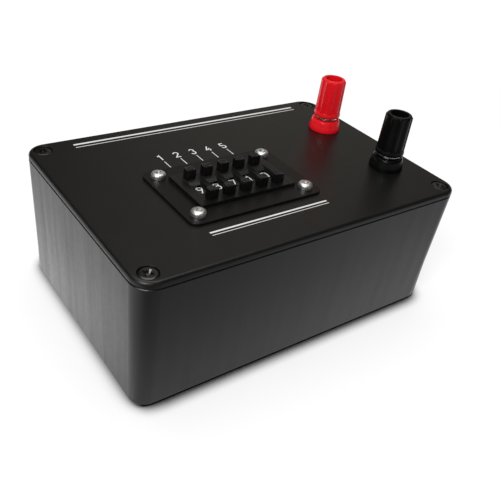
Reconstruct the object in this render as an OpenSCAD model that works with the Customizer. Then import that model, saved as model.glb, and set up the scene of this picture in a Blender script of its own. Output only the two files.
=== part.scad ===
// Switched capacitance box for the bench: a moulded case with a screwed lid,
// a bank of five push-wheel switches in a bezel plate, and two binding posts.
// Millimetres. The origin is the centre of the bottom face, +Z is up,
// +X runs to the end with the posts and +Y to the back.

/* [Case] */
// Length of the closed case, left to right
box_l = 150; // [140:1:190]
// Width of the closed case, front to back
box_w = 100; // [92:1:130]
// Height of the closed case, lid included
box_h = 57; // [54:0.5:80]
// Corner radius of the lid seen from above
corner_r = 8; // [6:0.5:12]
// Lean of each side wall between seam and bottom
draft = 1.5; // [0.5:0.1:2.5]
// Thickness of the side walls
wall_t = 2.5; // [2:0.1:3.5]
// Thickness of the floor
floor_t = 2.5; // [2:0.1:4]
// Bevel along the bottom edge
foot_bevel = 0.8; // [0.3:0.1:1.5]
// Radius of the four screw pillars
pillar_r = 4.4; // [4:0.1:5.5]
// Thickness of the moulded board guides on the walls
guide_t = 1.2; // [0.8:0.1:2]
// Reach of the board guides from the wall
guide_reach = 1.7; // [1:0.1:3]
// Slot between the two ribs of a guide
guide_slot = 2; // [1.6:0.1:2.6]
// Distance between guides along a wall
guide_pitch = 16; // [14:0.5:24]

/* [Lid] */
// Thickness of the lid
lid_t = 2.8; // [2.4:0.1:4]
// Rounding of the lid's upper edge
lid_round = 1.4; // [0.6:0.1:2]
// Bevel under the lid's edge, seen as the dark seam
seam_bevel = 0.5; // [0.2:0.05:0.6]
// Bevel along the rim of the case, below the seam
rim_bevel = 0.25; // [0.1:0.05:0.4]
// Depth of the locating lip under the lid
lip_depth = 2; // [1:0.1:4]
// Thickness of the locating lip
lip_t = 1.5; // [1:0.1:2.5]
// Distance from the case's edges to the lid screws
screw_inset = 6.1; // [5.5:0.1:8]
// Radius of the recess round a lid screw
recess_r = 3.65; // [3.4:0.05:4.5]
// Depth of the recess round a lid screw
recess_d = 1.5; // [1:0.1:1.8]

/* [Fasteners] */
// Radius of the lid screws' heads
lid_head_r = 3.1; // [2.6:0.1:3.3]
// Height of the lid screws' heads
lid_head_h = 1.3; // [1:0.1:1.7]
// Length of the lid screws below the head
lid_screw_l = 10; // [8:0.5:14]
// Radius of the machine screws' shanks
screw_r = 1.5; // [1.2:0.1:1.8]
// Radius of the bezel screws' pan heads
pan_r = 2.7; // [2.5:0.1:3.3]
// Height of the bezel screws' pan heads
pan_h = 2.3; // [1.8:0.1:2.6]
// Outer radius of the brass inserts
insert_r = 2.4; // [2:0.1:2.8]
// Length of the brass inserts
insert_l = 8; // [5:0.5:10]
// Width across the flats of the bezel nuts
nut_af = 5.5; // [5:0.1:6]
// Thickness of the bezel nuts
nut_t = 2.4; // [1.8:0.1:3]
// Thickness of the plain washers
washer_t = 0.5; // [0.3:0.1:0.8]

/* [Bezel plate] */
// Thickness of the plate
bezel_t = 1; // [0.8:0.1:3]
// Corner radius of the plate
bezel_r = 3.5; // [1:0.5:6]
// Centre of the plate left of the case's centre
bezel_left = 13.2; // [8:0.1:20]
// Centre of the plate in front of the case's centre
bezel_front = 8.8; // [4:0.1:14]
// From the ends of the switch row to the middle of the plate's screws
bezel_screw_end = 2.9; // [2.9:0.1:6]
// From the front and back of the switch row to the middle of the screws
bezel_screw_side = 2.7; // [2.6:0.1:6]
// Plate beyond the middle of its screws, at its ends
bezel_rim_end = 5.3; // [4:0.1:8]
// Plate beyond the middle of its screws, at its front and back
bezel_rim_side = 5.3; // [4:0.1:8]

/* [Switches] */
// Width of one switch in the row
pitch = 7.62; // [7.2:0.02:8.2]
// Number of switches in the row
switch_count = 5; // [5:1:5]
// Front flange of a switch, front to back
flange_w = 23.6; // [22.8:0.1:26]
// Thickness of the front flange
flange_t = 1.4; // [1.2:0.1:2]
// Fine groove between neighbouring flanges
flange_gap = 0.12; // [0.06:0.02:0.3]
// Width of a switch case below the flange
case_w = 22; // [21.6:0.1:23]
// Depth of a switch case below its face
case_d = 28; // [24:0.5:32]
// Thickness of a switch case's walls
case_wall = 0.8; // [0.6:0.1:1.2]
// Thickness of a switch case's closed side
side_t = 1; // [0.8:0.05:1.2]
// Width of the end caps' flanges
cap_flange = 2.75; // [2.4:0.05:4]
// Thickness of the end caps below the flange
cap_t = 1.9; // [1.6:0.1:2.2]
// Reach of the end caps' snap hooks
hook_reach = 0.5; // [0.3:0.05:0.6]
// Radius of the two rods that hold the row together
rod_r = 1; // [0.8:0.1:1.2]

/* [Windows] */
// Width of a window at its bottom
window_l = 4; // [3.6:0.1:4.1]
// Height of a window, front to back
window_w = 5.7; // [5:0.1:6]
// Middle of the window from the switch's left side
window_x = 4.1; // [3.8:0.05:4.15]
// Length of the bevel on the window's front and back
bevel_w = 2.6; // [1:0.1:2.8]
// Length of the bevel on the window's sides
bevel_l = 0.8; // [0.3:0.05:0.9]
// Depth of the bevels
bevel_d = 1.1; // [0.6:0.1:1.2]

/* [Digit wheels] */
// Radius of a digit wheel
wheel_r = 8.8; // [8:0.1:9]
// Width of a digit wheel's drum
drum_w = 4.1; // [3.6:0.1:4.2]
// Wall of the drum
drum_wall = 1.3; // [1:0.1:2]
// Thickness of the drum's web
web_t = 1; // [0.8:0.1:1.4]
// Outer radius of the ratchet ring
ratchet_r = 4.4; // [3.6:0.1:4.5]
// Depth of the ratchet's teeth
tooth_d = 1.1; // [0.6:0.1:1.4]
// Thickness of the ratchet ring
ratchet_t = 0.6; // [0.5:0.1:0.8]
// Radius of the wheel's trunnions
trunnion_r = 1.2; // [0.9:0.1:1.5]
// Number of positions round a wheel
positions = 10; // [10:1:10]

/* [Push buttons] */
// Width of a button
button_l = 3.8; // [3.4:0.1:4.4]
// Size of a button, front to back
button_w = 3; // [2.6:0.1:3.6]
// Height of a button above the flange
button_h = 3.7; // [3:0.1:5]
// Middle of a button from the middle of the switch
button_y = 7.9; // [7.7:0.1:8]
// Travel of a button
button_travel = 2; // [1.5:0.1:2.1]
// Thickness of a button's pawl
pawl_t = 0.55; // [0.5:0.05:0.6]

/* [Binding posts] */
// Middle of the posts from the case's right side
post_inset = 16.3; // [14:0.1:24]
// Distance between the posts
post_pitch = 40.6; // [24:0.2:50]
// Middle of the pair in front of the case's centre
post_front = 1.4; // [0:0.1:8]
// Radius of a collar at the lid
collar_r = 7.2; // [6.5:0.1:8]
// Radius of a collar at its top
collar_top_r = 6.4; // [5.5:0.1:7]
// Height of a collar
collar_h = 5.2; // [4:0.1:8]
// Radius of a metal stud
stud_r = 3; // [2.8:0.1:3.5]
// Top of a stud above the lid
stud_top = 18; // [15:0.5:19]
// Length of a stud below the lid
stud_tail = 15; // [13:0.5:18]
// Radius of the plug socket in a stud
socket_r = 2; // [1.9:0.01:2.05]
// Depth of the plug socket
socket_d = 10; // [8:0.5:10.5]
// Radius of the wire hole across a stud
cross_r = 0.9; // [0.6:0.1:1]
// Radius of a clamp washer
clamp_r = 5; // [4.6:0.1:5.6]
// Thickness of a clamp washer
clamp_t = 0.9; // [0.6:0.1:1.4]
// Radius of a knob at its lower rim
knob_r = 6.1; // [5.6:0.1:6.4]
// Radius of a knob at its top
knob_top_r = 5.6; // [5:0.05:6]
// Height of a knob
knob_h = 17.4; // [15:0.1:20]
// Height of a knob's smooth lower rim
knob_rim_h = 1.9; // [1.5:0.1:4]
// Radius of the mouth in a knob
mouth_r = 3.75; // [3.5:0.05:4]
// Number of grip flutes round a knob
flutes = 10; // [6:1:14]
// Depth of the grip flutes
flute_d = 0.45; // [0.2:0.05:0.6]
// Radius of the round tool that makes a flute
flute_r = 2.6; // [1.5:0.1:4]
// Outer radius of a knob's brass insert
core_r = 4.4; // [4.2:0.1:4.8]
// Length of a knob's brass insert
core_l = 9; // [7:0.5:10]
// Radius of the insert's neck in the clamp washer
neck_r = 3.9; // [3.6:0.1:4]
// Width across the flats of a post's nut
post_nut_af = 10; // [9:0.5:12]
// Thickness of a post's nut
post_nut_t = 4; // [3:0.5:5]
// Radius of the insulating bush under the lid
bush_r = 6.5; // [6:0.1:8]
// Thickness of the insulating bush
bush_t = 3; // [2:0.1:4]
// Radius of the bush's and collar's spigot
spigot_r = 3.9; // [3.7:0.1:4.5]

/* [Capacitor board] */
// Room between the board and the ends of the case
board_end_gap = 17; // [14:0.5:20]
// Room between the board and the front and back of the case
board_side_gap = 12; // [10:0.5:14]
// Thickness of the boards
board_t = 1.6; // [1:0.1:2]
// Height of the board's bosses above the floor
boss_h = 6; // [4:0.5:8]
// Radius of the board's bosses
boss_r = 3; // [2.5:0.1:4]
// Distance from the board's edges to its screws
board_inset = 4; // [3.5:0.5:6]
// Distance between rows of capacitors
row_pitch = 19; // [17:0.5:21]
// Distance between capacitors in a row
part_pitch = 17; // [16:0.5:18]
// Thickness of a switch's contact board
contact_t = 1; // [0.8:0.05:1.1]
// Length of the contact boards below the cases
contact_tail = 5; // [3:0.5:7]
// Radius of the link wires
wire_r = 0.6; // [0.4:0.1:0.9]

/* [Fits] */
// Gap round a moving button in its slot
slot_gap = 0.1; // [0.06:0.01:0.15]
// Running gap round trunnions, necks and studs
run_gap = 0.06; // [0.03:0.01:0.1]
// Gap round parts that are fitted once
fit_gap = 0.1; // [0.05:0.01:0.2]
// Gap at rest between a moving piece and its stop
stop_gap = 0.3; // [0.2:0.05:0.4]
// Gap round a fixed screw in its hole
hole_gap = 0.15; // [0.1:0.01:0.3]

/* [Hidden] */
$fn = 48;
corner_fn = 48;
hair = 0.02;
over = 1;

// Colours as the object shows them
case_black = "#232323";
gloss_black = "#0c0c0d";
post_red = "#c8141c";
bright_metal = "#c9cacc";
brass_yellow = "#b9974a";
board_green = "#2c6b45";

// Levels from the floor up
seam_z = box_h - lid_t;
plate_z = box_h + bezel_t;
face_z = plate_z + flange_t;
board_z = floor_t + boss_h;

// Corner centres of the case and places of the lid screws
corner_x = box_l / 2 - corner_r;
corner_y = box_w / 2 - corner_r;
screw_x = box_l / 2 - screw_inset;
screw_y = box_w / 2 - screw_inset;
quarters = [[-1, -1], [1, -1], [1, 1], [-1, 1]];
pocket_room = 3;
insert_sink = 0.2;

// Share of a screw head's height that its upright rim takes
lid_head_rim = 0.6;
pan_rim = 0.5;
washer_rim = 0.7;

// The row of switches, centred on the bezel plate, which follows its size
bank_l = switch_count * pitch;
bank_left = -bezel_left - bank_l / 2;
bezel_screws_x = bank_l + 2 * (cap_flange + bezel_screw_end);
bezel_screws_y = flange_w + 2 * bezel_screw_side;
bezel_l = bezel_screws_x + 2 * bezel_rim_end;
bezel_w = bezel_screws_y + 2 * bezel_rim_side;
cap_slack = 0.15;
cut_l = bank_l + 2 * cap_t + 2 * cap_slack;
cut_w = case_w + 2 * cap_slack;

// Inside one switch, from its left side
ratchet_room = 1.1;
drum_x = side_t + ratchet_room;
ratchet_x = side_t + stop_gap;
case_right = pitch - contact_t - 2 * hair;
wheel_sink = 0.1;
hub_wall = 1.4;
hub_r = trunnion_r + hub_wall;
axis_z = -flange_t - wheel_sink - wheel_r;
trunnion_end = 0.1;
rod_side = 0.4;
rod_floor = 0.8;
rod_boss = 1;
rod_y = case_w / 2 - case_wall - rod_r - rod_side;
rod_z = -case_d + case_wall + rod_r + rod_floor;
cap_nut_t = 1.2;
cap_nut_r = 2.2;
cap_nut_slack = 0.2;
cap_nut_sink = 0.1;

// Binding post, heights above the lid
post_x = box_l / 2 - post_inset;
red_y = post_pitch / 2 - post_front;
black_y = -post_pitch / 2 - post_front;
clamp_z = collar_h + stop_gap;
knob_z = clamp_z + clamp_t + stop_gap;
tag_t = 0.6;
tag_reach = 11;
cross_turn = 40;

// The board fills the case but for its room
board_l = box_l - 2 * board_end_gap;
board_w = box_w - 2 * board_side_gap;
board_head_h = 1.9;

// Shared shapes

module rounded_plate(l, w, r, h) {
    linear_extrude(height = h) union() {
        square([l, w - 2 * r], center = true);
        square([l - 2 * r, w], center = true);
        for (q = quarters)
            translate([q[0] * (l / 2 - r), q[1] * (w / 2 - r)])
                circle(r = r);
    }
}

// A block whose corner cones share fixed centres, so that the walls lean
module leaning_block(low_r, high_r, z0, z1) {
    for (q = quarters)
        translate([q[0] * corner_x, q[1] * corner_y, z0])
            cylinder(r1 = low_r, r2 = high_r, h = z1 - z0, $fn = corner_fn);
}

module hex_nut(af, t, bore_r) {
    difference() {
        cylinder(d = af / cos(30), h = t, $fn = 6);
        translate([0, 0, -over]) cylinder(r = bore_r, h = t + 2 * over);
    }
}

module ring(outer_r, inner_r, t) {
    difference() {
        cylinder(r = outer_r, h = t);
        translate([0, 0, -over]) cylinder(r = inner_r, h = t + 2 * over);
    }
}

// Cross recess for the screw driver, opening upward at z = 0
module cross_recess(size, depth) {
    for (a = [0, 90])
        rotate([0, 0, a])
            translate([-size / 2, -size / 7, -depth])
                cube([size, size / 3.5, depth + over]);
}

module domed_head(r, h, edge_h) {
    rise = h - edge_h;
    ball_r = (r * r + rise * rise) / (2 * rise);
    intersection() {
        cylinder(r = r, h = h + over);
        translate([0, 0, h - ball_r]) sphere(r = ball_r, $fn = 96);
    }
}

// Case

module base_shell() {
    inner_lean = draft * (seam_z - floor_t) / seam_z;
    color(case_black) difference() {
        union() {
            difference() {
                hull() {
                    leaning_block(corner_r, corner_r - rim_bevel, seam_z - rim_bevel, seam_z);
                    leaning_block(corner_r - draft, corner_r, foot_bevel, seam_z - rim_bevel);
                    leaning_block(corner_r - draft - foot_bevel, corner_r - draft, 0, foot_bevel);
                }
                hull() leaning_block(corner_r - wall_t - inner_lean, corner_r - wall_t,
                                     floor_t, seam_z + hair);
            }
            for (q = quarters) {
                translate([q[0] * screw_x, q[1] * screw_y, floor_t - hair])
                    cylinder(r = pillar_r, h = seam_z - floor_t + hair);
                translate([q[0] * (board_l / 2 - board_inset), q[1] * (board_w / 2 - board_inset),
                           floor_t - hair])
                    cylinder(r = boss_r, h = boss_h + hair);
            }
            board_guides();
        }
        for (q = quarters) {
            translate([q[0] * screw_x, q[1] * screw_y, seam_z - insert_l - pocket_room])
                cylinder(r = insert_r + hair, h = insert_l + pocket_room + over);
            translate([q[0] * (board_l / 2 - board_inset), q[1] * (board_w / 2 - board_inset),
                       floor_t])
                cylinder(r = screw_r, h = boss_h + over);
        }
    }
}

// Pairs of ribs that stand on the inside of the walls
module board_guides() {
    top_gap = 3;
    sink = 0.5;
    rib_h = seam_z - floor_t - lip_depth - top_gap;
    root = draft + wall_t - sink;
    reach_l = guide_reach + draft + sink;
    for (s = [-1, 1]) {
        for (k = [-3:3])
            for (e = [-1, 1])
                translate([k * guide_pitch + e * (guide_slot + guide_t) / 2 - guide_t / 2,
                           s * (box_w / 2 - root - reach_l / 2) - reach_l / 2, floor_t - hair])
                    cube([guide_t, reach_l, rib_h]);
        for (k = [-1:1])
            for (e = [-1, 1])
                translate([s * (box_l / 2 - root - reach_l / 2) - reach_l / 2,
                           k * guide_pitch + e * (guide_slot + guide_t) / 2 - guide_t / 2,
                           floor_t - hair])
                    cube([reach_l, guide_t, rib_h]);
    }
}

module screw_inserts() {
    color(brass_yellow)
        for (q = quarters)
            translate([q[0] * screw_x, q[1] * screw_y, seam_z - insert_l - insert_sink])
                ring(insert_r, screw_r + run_gap, insert_l);
}

// One corner of the lid: a bevel below, straight side, rounded upper edge
module lid_corner() {
    steps = 6;
    rotate_extrude($fn = corner_fn) polygon(concat(
        [[0, 0], [corner_r - seam_bevel, 0], [corner_r, seam_bevel]],
        [for (k = [0:steps])
            let (a = 90 * k / steps)
            [corner_r - lid_round + lid_round * cos(a), lid_t - lid_round + lid_round * sin(a)]],
        [[0, lid_t]]));
}

module lid() {
    lip_l = box_l - 2 * wall_t - 2 * fit_gap;
    lip_w = box_w - 2 * wall_t - 2 * fit_gap;
    lip_r = corner_r - wall_t - fit_gap;
    room = 1.2;
    cut_r = 1.5;
    color(case_black) difference() {
        union() {
            translate([0, 0, seam_z]) hull()
                for (q = quarters)
                    translate([q[0] * corner_x, q[1] * corner_y, 0]) lid_corner();
            difference() {
                translate([0, 0, seam_z - lip_depth])
                    rounded_plate(lip_l - draft / 4, lip_w - draft / 4, lip_r, lip_depth + hair);
                translate([0, 0, seam_z - lip_depth - over])
                    rounded_plate(lip_l - 2 * lip_t, lip_w - 2 * lip_t, lip_r - lip_t,
                                  lip_depth + 2 * over);
                for (q = quarters)
                    translate([q[0] * screw_x, q[1] * screw_y, seam_z - lip_depth - over])
                        cylinder(r = pillar_r + 2 * fit_gap, h = lip_depth + over);
            }
        }
        for (q = quarters) {
            translate([q[0] * screw_x, q[1] * screw_y, seam_z - over])
                cylinder(r = screw_r + hole_gap, h = lid_t + 2 * over);
            translate([q[0] * screw_x, q[1] * screw_y, box_h - recess_d])
                cylinder(r = recess_r, h = recess_d + over);
            translate([-bezel_left + q[0] * bezel_screws_x / 2,
                       -bezel_front + q[1] * bezel_screws_y / 2, seam_z - over])
                cylinder(r = screw_r + hole_gap, h = lid_t + 2 * over);
        }
        translate([-bezel_left, -bezel_front, seam_z - over])
            rounded_plate(cut_l + 2 * room, cut_w + 2 * room, cut_r, lid_t + 2 * over);
        for (y = [red_y, black_y])
            translate([post_x, y, seam_z - over])
                cylinder(r = spigot_r + fit_gap, h = lid_t + 2 * over);
    }
}

module lid_screws() {
    cross = 3.2;
    cross_d = 0.9;
    turn = 30;
    color(gloss_black)
        for (q = quarters)
            translate([q[0] * screw_x, q[1] * screw_y, box_h - recess_d])
                difference() {
                    union() {
                        domed_head(lid_head_r, lid_head_h, lid_head_h * lid_head_rim);
                        translate([0, 0, -lid_screw_l]) cylinder(r = screw_r, h = lid_screw_l + hair);
                    }
                    translate([0, 0, lid_head_h]) rotate([0, 0, turn])
                        cross_recess(cross, cross_d);
                }
}

// Bezel plate and what holds it

module bezel_plate() {
    color(case_black) translate([-bezel_left, -bezel_front, box_h]) difference() {
        rounded_plate(bezel_l, bezel_w, bezel_r, bezel_t);
        translate([-cut_l / 2, -cut_w / 2, -over]) cube([cut_l, cut_w, bezel_t + 2 * over]);
        for (q = quarters)
            translate([q[0] * bezel_screws_x / 2, q[1] * bezel_screws_y / 2, -over])
                cylinder(r = screw_r + hole_gap, h = bezel_t + 2 * over);
    }
}

module at_bezel_screws(z) {
    for (q = quarters)
        translate([-bezel_left + q[0] * bezel_screws_x / 2,
                   -bezel_front + q[1] * bezel_screws_y / 2, z]) children();
}

module bezel_screws() {
    thread_out = 0.8;
    cross = 3.2;
    cross_d = 1.2;
    turn = 20;
    shank_l = bezel_t + lid_t + washer_t + nut_t + thread_out;
    color(bright_metal) at_bezel_screws(plate_z) difference() {
        union() {
            domed_head(pan_r, pan_h, pan_h * pan_rim);
            translate([0, 0, -shank_l]) cylinder(r = screw_r, h = shank_l + hair);
        }
        translate([0, 0, pan_h]) rotate([0, 0, turn]) cross_recess(cross, cross_d);
    }
}

module bezel_washers() {
    color(bright_metal) at_bezel_screws(seam_z - washer_t)
        ring(nut_af / 2 + washer_rim, screw_r + hole_gap, washer_t);
}

module bezel_nuts() {
    color(bright_metal) at_bezel_screws(seam_z - washer_t - nut_t)
        hex_nut(nut_af, nut_t, screw_r + hair);
}

// Switch row

// Place of switch k, with z = 0 on the face of the flanges
module at_switch(k) {
    translate([bank_left + k * pitch, -bezel_front, face_z]) children();
}

module along_x(x0, length, y, z, r) {
    translate([x0, y, z]) rotate([0, 90, 0]) cylinder(r = r, h = length);
}

// Window with sloped edges: two crossed prisms make the four slopes
module window_cut() {
    top = hair;
    translate([window_x, 0, 0]) {
        intersection() {
            rotate([90, 0, 90]) translate([0, 0, -pitch]) linear_extrude(height = 2 * pitch)
                polygon([[-window_w / 2, -bevel_d], [window_w / 2, -bevel_d],
                         [window_w / 2 + bevel_w, top], [-window_w / 2 - bevel_w, top]]);
            rotate([90, 0, 0]) translate([0, 0, -case_w]) linear_extrude(height = 2 * case_w)
                polygon([[-window_l / 2, -bevel_d], [window_l / 2, -bevel_d],
                         [window_l / 2 + bevel_l, top], [-window_l / 2 - bevel_l, top]]);
        }
        translate([-window_l / 2, -window_w / 2, -flange_t - over])
            cube([window_l, window_w, flange_t - bevel_d + over + hair]);
    }
}

module switch_case() {
    slot_l = button_l + 2 * slot_gap;
    slot_w = button_w + 2 * slot_gap;
    difference() {
        union() {
            translate([flange_gap / 2, -flange_w / 2, -flange_t])
                cube([pitch - flange_gap, flange_w, flange_t]);
            translate([0, -case_w / 2, -case_d])
                cube([case_right, case_w, case_d - flange_t + hair]);
        }
        difference() {
            translate([side_t, -case_w / 2 + case_wall, -case_d + case_wall])
                cube([pitch, case_w - 2 * case_wall, case_d - case_wall - flange_t]);
            for (s = [-1, 1])
                along_x(0, case_right, s * rod_y, rod_z, rod_r + rod_boss);
        }
        window_cut();
        for (s = [-1, 1]) {
            translate([window_x - slot_l / 2, s * button_y - slot_w / 2, -flange_t - over])
                cube([slot_l, slot_w, flange_t + 2 * over]);
            along_x(-over, pitch + over, s * rod_y, rod_z, rod_r + run_gap);
        }
        along_x(-over, side_t + 2 * over, 0, axis_z, trunnion_r + run_gap);
    }
}

// Drum for the ten digits, on a web that is pressed on the ratchet's hub
module digit_wheel() {
    holes = 5;
    hole_r = 1.3;
    hole_out = 2.2;
    translate([0, 0, axis_z]) difference() {
        along_x(drum_x, drum_w, 0, 0, wheel_r);
        along_x(drum_x + web_t, drum_w, 0, 0, wheel_r - drum_wall);
        along_x(0, pitch, 0, 0, hub_r + hair);
        for (k = [0:holes - 1])
            rotate([360 * (k + 0.25) / holes, 0, 0])
                along_x(0, pitch, 0, hub_r + hole_out, hole_r);
    }
}

// Ratchet ring, one tooth for each place, with the wheel's hub and trunnions
module ratchet() {
    step = 360 / positions;
    root_r = ratchet_r - tooth_d;
    // shares of a tooth's step where the valley and the crest begin and end
    valley = [0.05, 0.35];
    crest = [0.55, 0.85];
    translate([0, 0, axis_z]) {
        along_x(ratchet_x, drum_x + drum_w - ratchet_x, 0, 0, hub_r);
        along_x(trunnion_end, pitch - 2 * trunnion_end, 0, 0, trunnion_r);
        translate([ratchet_x, 0, 0]) rotate([90, 0, 90]) linear_extrude(height = ratchet_t)
            polygon([for (k = [0:positions - 1])
                for (corner = [[root_r, valley[0]], [root_r, valley[1]],
                               [ratchet_r, crest[0]], [ratchet_r, crest[1]]])
                    corner[0] * [cos(step * (k + corner[1])), sin(step * (k + corner[1]))]]);
    }
}

// Button of the back row; the front row's is its mirror image
module push_button() {
    body_low = -flange_t - stop_gap;
    dish_r = 4;
    dish_d = 0.2;
    shoulder_t = 0.8;
    shoulder_side = 0.15;
    shoulder_end = 0.2;
    shoulder_in = 0.3;
    shoulder_out = case_w / 2 - case_wall - shoulder_side;
    arm_w = 1.8;
    arm_in = 0.2;
    arm_y = button_y + button_w / 2 - arm_w - arm_in;
    finger_gap = 0.5;
    finger_t = 1.1;
    finger_y = ratchet_r + finger_gap;
    finger_up = 0.8;
    finger_z = axis_z + finger_up;
    translate([window_x - button_l / 2, button_y - button_w / 2, body_low]) difference() {
        cube([button_l, button_w, button_h - body_low]);
        // shallow dish for the finger tip
        translate([button_l / 2, button_w / 2, button_h - body_low + dish_r - dish_d])
            rotate([0, 90, 0]) cylinder(r = dish_r, h = button_l + 2 * over, center = true);
    }
    // shoulder that stops the button under the flange
    translate([ratchet_x, button_y - shoulder_in, body_low - shoulder_t])
        cube([case_right - shoulder_end - ratchet_x,
              shoulder_out - button_y + shoulder_in, shoulder_t + hair]);
    // pawl arm beside the drum, with its finger short of the ratchet ring
    translate([ratchet_x, 0, 0]) rotate([90, 0, 90]) linear_extrude(height = pawl_t)
        polygon([[arm_y, body_low - hair], [arm_y, finger_z + arm_w],
                 [finger_y, finger_z], [finger_y, finger_z - finger_t],
                 [arm_y + arm_w / 2, finger_z - finger_t / 2],
                 [arm_y + arm_w, finger_z + finger_t], [arm_y + arm_w, body_low - hair]]);
}

module end_cap(s) {
    nut_sink = cap_nut_t + cap_nut_sink;
    hook_w = 3;
    hook_edge = 0.4;
    hook_ramp = 2;
    hook_top = box_h - face_z - fit_gap;
    mirror([s < 0 ? 1 : 0, 0, 0]) difference() {
        union() {
            translate([0, -flange_w / 2, -flange_t])
                cube([cap_flange, flange_w, flange_t]);
            translate([0, -case_w / 2, -case_d]) cube([cap_t, case_w, case_d - flange_t + hair]);
            for (y = [-case_w / 4, case_w / 4])
                translate([cap_t - hair, y + hook_w / 2, 0]) rotate([90, 0, 0])
                    linear_extrude(height = hook_w)
                        polygon([[0, hook_top], [hook_reach + hair, hook_top],
                                 [hook_reach + hair, hook_top - hook_edge],
                                 [0, hook_top - hook_edge - hook_ramp]]);
        }
        for (y = [-rod_y, rod_y]) {
            along_x(-over, cap_t + 2 * over, y, rod_z, rod_r + run_gap);
            along_x(cap_t - nut_sink, nut_sink + over, y, rod_z, cap_nut_r + cap_nut_slack);
        }
    }
}

module bank_rods() {
    sink = cap_nut_sink / 2;
    color(bright_metal)
        for (s = [-1, 1])
            at_switch(0)
                along_x(sink - cap_t, bank_l + 2 * (cap_t - sink), s * rod_y, rod_z, rod_r);
}

module rod_nuts() {
    color(bright_metal)
        for (s = [-1, 1])
            for (x = [cap_nut_sink - cap_t, bank_l + cap_t - cap_nut_sink - cap_nut_t])
                at_switch(0) translate([x, s * rod_y, rod_z]) rotate([0, 90, 0])
                    hex_nut(2 * cap_nut_r * cos(30), cap_nut_t, rod_r + hair);
}

// Printed boards that close the right side of each switch case
module contact_boards() {
    tail_side = 3;
    pad_pitch = 2.54;
    pad_r = 0.5;
    color(board_green)
        for (k = [0:switch_count - 1])
            at_switch(k) difference() {
                union() {
                    translate([case_right + hair, -case_w / 2, -case_d])
                        cube([contact_t, case_w, case_d - flange_t - hair]);
                    translate([case_right + hair, -case_w / 2 + tail_side, -case_d - contact_tail])
                        cube([contact_t, case_w - 2 * tail_side, contact_tail + hair]);
                }
                along_x(0, 2 * pitch, 0, axis_z, trunnion_r + run_gap);
                for (s = [-1, 1])
                    along_x(0, 2 * pitch, s * rod_y, rod_z, rod_r + run_gap);
                for (j = [-2:2])
                    along_x(0, 2 * pitch, pad_pitch * j, -case_d - contact_tail / 2, pad_r);
            }
}

// Binding posts, drawn with z = 0 on the lid

module stud() {
    difference() {
        translate([0, 0, -stud_tail]) cylinder(r = stud_r, h = stud_top + stud_tail);
        translate([0, 0, stud_top - socket_d]) cylinder(r = socket_r, h = socket_d + over);
        translate([0, 0, collar_h + stop_gap + cross_r])
            rotate([90, 0, cross_turn]) cylinder(r = cross_r, h = 4 * stud_r, center = true);
    }
}

module collar() {
    edge = 0.5;
    foot_h = 1.2;
    difference() {
        union() {
            rotate_extrude() polygon([[0, 0], [collar_r, 0], [collar_r, foot_h],
                [collar_top_r, collar_h - edge], [collar_top_r - edge, collar_h], [0, collar_h]]);
            translate([0, 0, -lid_t + fit_gap]) cylinder(r = spigot_r, h = lid_t);
        }
        translate([0, 0, -lid_t - over]) cylinder(r = stud_r + run_gap, h = lid_t + collar_h + 2 * over);
    }
}

module clamp_washer() {
    translate([0, 0, clamp_z]) ring(clamp_r, neck_r + run_gap, clamp_t);
}

// Tapered grip with flutes that run out above a smooth rim
module knob() {
    foot_edge = 0.5;
    rim_step = 0.25;
    flute_lift = 0.4;
    edge = 0.7;
    neck = knob_r - rim_step;
    lean = atan((neck - knob_top_r) / (knob_h - knob_rim_h - edge));
    translate([0, 0, knob_z]) difference() {
        rotate_extrude() polygon([[0, 0], [knob_r - foot_edge, 0], [knob_r, foot_edge],
            [knob_r, knob_rim_h - foot_edge], [neck, knob_rim_h],
            [knob_top_r, knob_h - edge], [knob_top_r - edge, knob_h], [0, knob_h]]);
        for (k = [0:flutes - 1])
            rotate([0, 0, 360 * k / flutes])
                translate([neck - flute_d + flute_r, 0, knob_rim_h + flute_lift])
                    rotate([0, -lean, 0]) cylinder(r = flute_r, h = knob_h);
        translate([0, 0, -over]) cylinder(r = core_r + hair, h = core_l + over);
        translate([0, 0, -over]) cylinder(r = mouth_r, h = knob_h + 2 * over);
    }
}

module knob_core() {
    translate([0, 0, knob_z]) difference() {
        union() {
            cylinder(r = core_r, h = core_l);
            translate([0, 0, -stop_gap - clamp_t]) cylinder(r = neck_r, h = clamp_t + stop_gap + hair);
        }
        translate([0, 0, -clamp_t - over]) cylinder(r = stud_r + run_gap, h = core_l + clamp_t + 2 * over);
    }
}

module bush() {
    translate([0, 0, -lid_t - bush_t]) ring(bush_r, stud_r + hair, bush_t);
}

module tag() {
    arm_w = 3;
    eye_r = 1.8;
    translate([0, 0, -lid_t - bush_t - tag_t]) difference() {
        union() {
            cylinder(r = post_nut_af / 2, h = tag_t);
            translate([-tag_reach, -arm_w / 2, 0]) cube([tag_reach, arm_w, tag_t]);
            translate([-tag_reach, 0, 0]) cylinder(r = eye_r, h = tag_t);
        }
        translate([0, 0, -over]) cylinder(r = stud_r + hair, h = tag_t + 2 * over);
        translate([-tag_reach, 0, -over]) cylinder(r = wire_r + hair, h = tag_t + 2 * over);
    }
}

module post_nut() {
    translate([0, 0, -lid_t - bush_t - tag_t - post_nut_t])
        hex_nut(post_nut_af, post_nut_t, stud_r + hair);
}

module at_red() {
    translate([post_x, red_y, box_h]) children();
}

module at_black() {
    translate([post_x, black_y, box_h]) children();
}

// Capacitor board and its parts

module capacitor_board() {
    board_r = 2;
    color(board_green) translate([0, 0, board_z]) difference() {
        rounded_plate(board_l, board_w, board_r, board_t);
        for (q = quarters)
            translate([q[0] * (board_l / 2 - board_inset), q[1] * (board_w / 2 - board_inset), -over])
                cylinder(r = screw_r + hole_gap, h = board_t + 2 * over);
        for (y = [red_y, black_y])
            translate([post_x - tag_reach, y, -over])
                cylinder(r = wire_r + hair, h = board_t + 2 * over);
    }
}

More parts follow.
